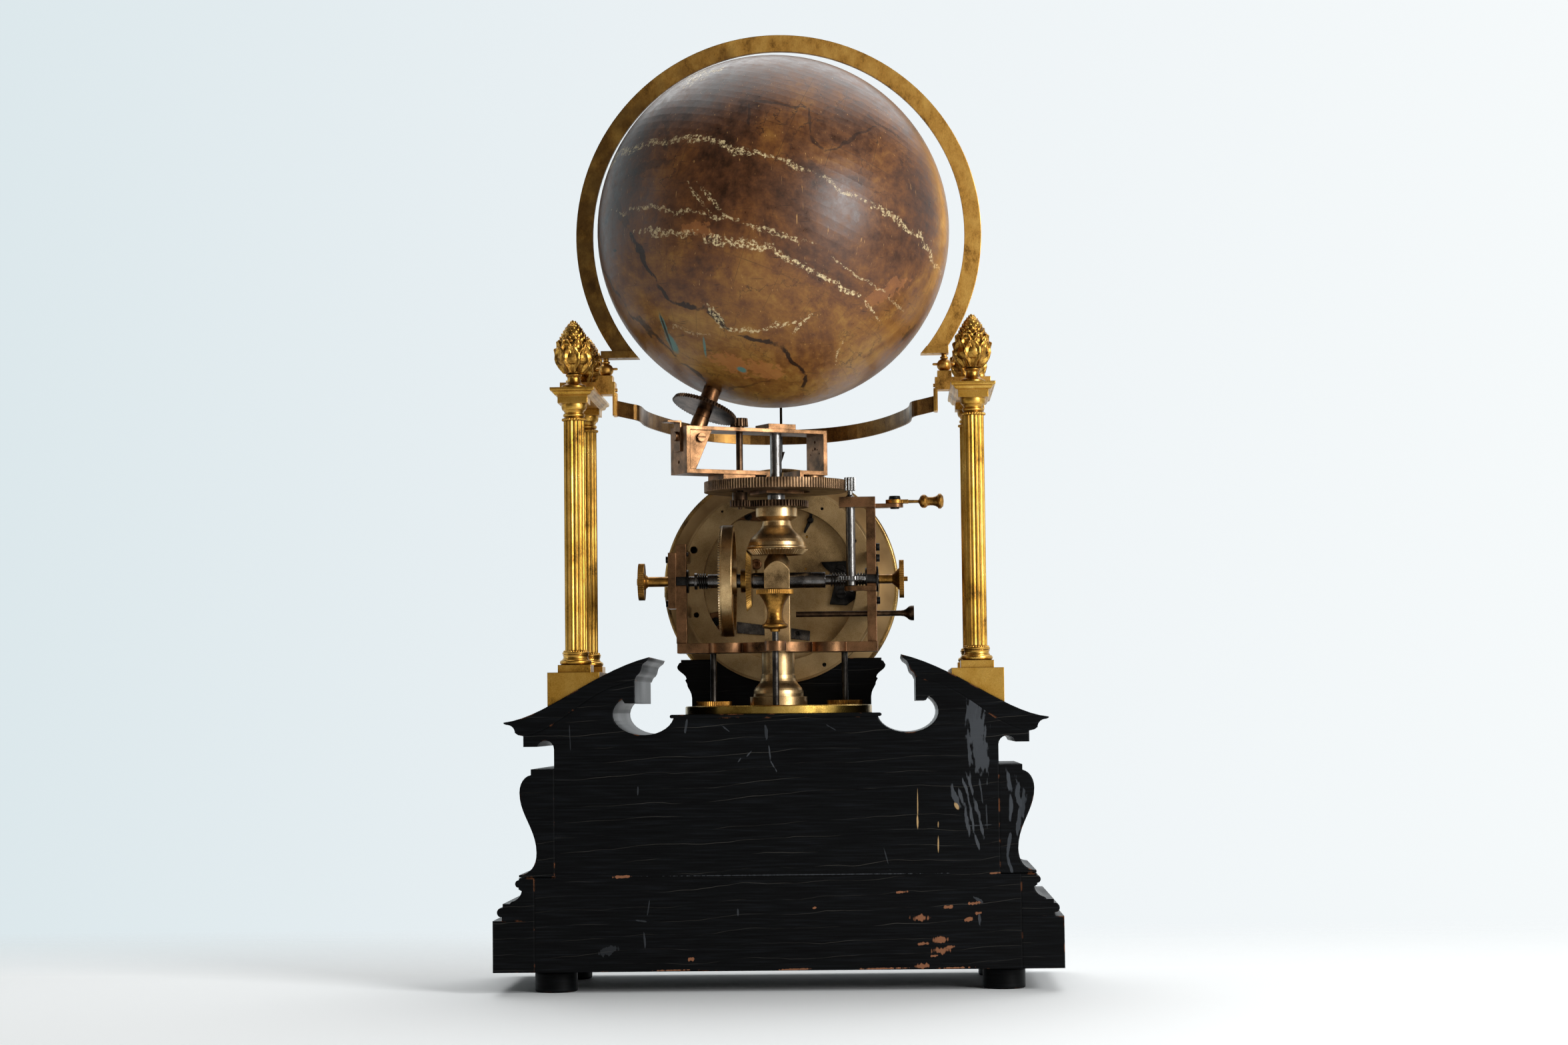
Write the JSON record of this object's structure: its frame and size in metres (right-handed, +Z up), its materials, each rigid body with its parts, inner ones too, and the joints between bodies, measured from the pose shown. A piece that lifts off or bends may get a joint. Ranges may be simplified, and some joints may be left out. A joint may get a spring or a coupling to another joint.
{
  "type": "globe clock",
  "caption": "Globe turned by open gearing above a drum clock, on a scrolled dark wooden case with fluted gilt columns and a flat light ring",
  "frame": {"origin": "On the ground, under the upright axis about which the globe's cage turns, midway between the case's ends.", "axes": "Z is up. The dial looks along +Y and the open gearing and the case's flat back look along -Y. X runs along the case, to the viewer's right when looking at the gearing, so that view (along +Y) is the pictured one."},
  "size_m": [0.3256, 0.209, 0.5631],
  "materials": {
    "black_wood": "ebonised and polished",
    "board_wood": "ebonised, worn",
    "foot_wood": "stained black",
    "gilt": "gilt brass",
    "ring_brass": "aged satin",
    "strap_brass": "dark, tarnished",
    "polished_brass": "polished",
    "nut_brass": "knurled, aged",
    "wheel_brass": "cut teeth",
    "drum_brass": "polished",
    "plate_brass": "matte, old",
    "bronze": "coppery, stained",
    "bell_bronze": "brown, turned",
    "old_bronze": "dark patina",
    "copper": "reddish, turned",
    "bright_steel": "turned",
    "dark_steel": "threaded, oiled",
    "black_steel": "blackened",
    "blued_steel": "blued",
    "globe_paper": "varnished, browned",
    "clear_glass": "clear",
    "dial_enamel": "white enamel"
  },
  "bodies": {
    "stand": {"plinth": "black_wood", "base_moulding": "black_wood", "case_body": "black_wood", "back_board": "board_wood", "side_consoles": "black_wood", "pediment_cornices": "black_wood", "feet": "foot_wood", "column_blocks": "gilt", "column_bases": "gilt", "column_shafts": "gilt", "column_capitals": "gilt", "entablatures": "gilt", "finials": "gilt", "ring_brackets": "ring_brass", "light_ring": "ring_brass", "sun_strap": "strap_brass", "sun_pointer": "dark_steel", "base_disc": "polished_brass", "levelling_rods": "dark_steel", "levelling_nuts": "nut_brass", "pillar": "polished_brass", "frame_plate": "bronze", "frame_uprights": "bronze", "bushes_and_screws": "black_steel", "central_shaft": "bright_steel", "drum_case": "drum_brass", "back_plate": "plate_brass", "cradle_board": "black_wood", "dial": "dial_enamel", "movement_plates": "plate_brass"},
    "cup_nut": {"cup_nut": "nut_brass"},
    "main_shaft": {"main_shaft": "bright_steel", "bevel_wheel": "wheel_brass", "drive_wheel": "copper", "shaft_spring": "black_steel", "worm": "dark_steel", "shaft_knobs": "nut_brass"},
    "day_hub": {"day_bell": "bell_bronze", "sun_gear": "wheel_brass"},
    "cage": {"cage": "bronze", "trunnion_block": "bronze", "annual_gear": "bronze"},
    "planet_arbor": {"planet_arbor": "bright_steel"},
    "globe": {"globe_arbor": "wheel_brass", "globe_wheel": "old_bronze", "globe": "globe_paper"},
    "annual_arbor": {"annual_arbor": "bright_steel"},
    "push_rod": {"push_rod": "old_bronze"},
    "setting_lever": {"setting_lever": "nut_brass"},
    "bezel": {"bezel": "drum_brass", "glass": "clear_glass"},
    "minute_hand": {"minute_hand": "blued_steel"},
    "hour_hand": {"hour_hand": "blued_steel"},
    "transfer_arbor": {"transfer_arbor": "wheel_brass"},
    "idler_wheel": {"idler_wheel": "wheel_brass"},
    "mainspring_barrel": {"mainspring_barrel": "wheel_brass"},
    "centre_wheel": {"centre_wheel": "wheel_brass"},
    "third_wheel": {"third_wheel": "wheel_brass"},
    "escape_wheel": {"escape_wheel": "wheel_brass"},
    "balance": {"balance": "wheel_brass"}
  },
  "joints": [
    {"name": "cage_spin", "type": "hinge", "parent": "stand", "child": "cage", "pos_m": [0, 0, 0.2895], "axis": [0, 0, 1], "continuous": true},
    {"name": "globe_spin", "type": "hinge", "parent": "cage", "child": "globe", "pos_m": [0, 0, 0.4446], "axis": [0.3453, 0.1994, 0.9171], "continuous": true},
    {"name": "planet_spin", "type": "hinge", "parent": "cage", "child": "planet_arbor", "pos_m": [-0.02096, -0.0121, 0.29], "axis": [0, 0, 1], "continuous": true},
    {"name": "day_hub_spin", "type": "hinge", "parent": "stand", "child": "day_hub", "pos_m": [0, 0, 0.28], "axis": [0, 0, 1], "continuous": true},
    {"name": "main_shaft_spin", "type": "hinge", "parent": "stand", "child": "main_shaft", "pos_m": [0, 0, 0.2372], "axis": [1, 0, 0], "continuous": true},
    {"name": "annual_arbor_spin", "type": "hinge", "parent": "stand", "child": "annual_arbor", "pos_m": [0.0438, -0.0116, 0.25], "axis": [0, 0, 1], "continuous": true},
    {"name": "transfer_arbor_spin", "type": "hinge", "parent": "stand", "child": "transfer_arbor", "pos_m": [-0.03572, 0.05, 0.2372], "axis": [0, 1, 0], "continuous": true},
    {"name": "idler_spin", "type": "hinge", "parent": "stand", "child": "idler_wheel", "pos_m": [-0.01459, 0.053, 0.24491], "axis": [0, 1, 0], "continuous": true},
    {"name": "minute_hand_spin", "type": "hinge", "parent": "stand", "child": "minute_hand", "pos_m": [0, 0.06, 0.2372], "axis": [0, 1, 0], "continuous": true},
    {"name": "hour_hand_spin", "type": "hinge", "parent": "stand", "child": "hour_hand", "pos_m": [0, 0.06, 0.2372], "axis": [0, 1, 0], "continuous": true},
    {"name": "centre_wheel_spin", "type": "hinge", "parent": "stand", "child": "centre_wheel", "pos_m": [0, 0.06, 0.2372], "axis": [0, 1, 0], "continuous": true},
    {"name": "barrel_spin", "type": "hinge", "parent": "stand", "child": "mainspring_barrel", "pos_m": [0, 0.06, 0.2102], "axis": [0, 1, 0], "continuous": true},
    {"name": "third_wheel_spin", "type": "hinge", "parent": "stand", "child": "third_wheel", "pos_m": [0.01559, 0.06, 0.2462], "axis": [0, 1, 0], "continuous": true},
    {"name": "escape_wheel_spin", "type": "hinge", "parent": "stand", "child": "escape_wheel", "pos_m": [0.01316, 0.06, 0.25999], "axis": [0, 1, 0], "continuous": true},
    {"name": "balance_swing", "type": "hinge", "parent": "stand", "child": "balance", "pos_m": [0.01646, 0.06, 0.2657], "axis": [0, 1, 0], "range_deg": [-135, 135], "stiffness_Nm_per_rad": 0.00002},
    {"name": "cup_nut_turn", "type": "hinge", "parent": "stand", "child": "cup_nut", "pos_m": [0, -0.0415, 0.21], "axis": [0, 0, 1], "continuous": true},
    {"name": "push_rod_press", "type": "slide", "parent": "stand", "child": "push_rod", "axis": [-1, 0, 0], "range_m": [0, 0.003], "stiffness_N_per_m": 150},
    {"name": "setting_lever_swing", "type": "hinge", "parent": "stand", "child": "setting_lever", "pos_m": [0.07, 0, 0.28], "axis": [0, 0, 1], "range_deg": [-12, 12]},
    {"name": "bezel_door", "type": "hinge", "parent": "stand", "child": "bezel", "pos_m": [-0.0708, 0.0824, 0.2372], "axis": [0, 0, 1], "range_deg": [0, 110]}
  ],
  "couplings": [
    {"joint": "main_shaft_spin", "follows": "globe_spin", "ratio": 1.2027},
    {"joint": "day_hub_spin", "follows": "globe_spin", "ratio": 1.2027},
    {"joint": "planet_spin", "follows": "globe_spin", "ratio": -4},
    {"joint": "cage_spin", "follows": "globe_spin", "ratio": 0.002746},
    {"joint": "annual_arbor_spin", "follows": "globe_spin", "ratio": -0.040092},
    {"joint": "minute_hand_spin", "follows": "globe_spin", "ratio": -24.055},
    {"joint": "hour_hand_spin", "follows": "globe_spin", "ratio": -2.0046},
    {"joint": "transfer_arbor_spin", "follows": "globe_spin", "ratio": -14.433},
    {"joint": "idler_spin", "follows": "globe_spin", "ratio": 28.866},
    {"joint": "barrel_spin", "follows": "centre_wheel_spin", "ratio": -0.125},
    {"joint": "third_wheel_spin", "follows": "centre_wheel_spin", "ratio": -8},
    {"joint": "escape_wheel_spin", "follows": "centre_wheel_spin", "ratio": 56}
  ]
}
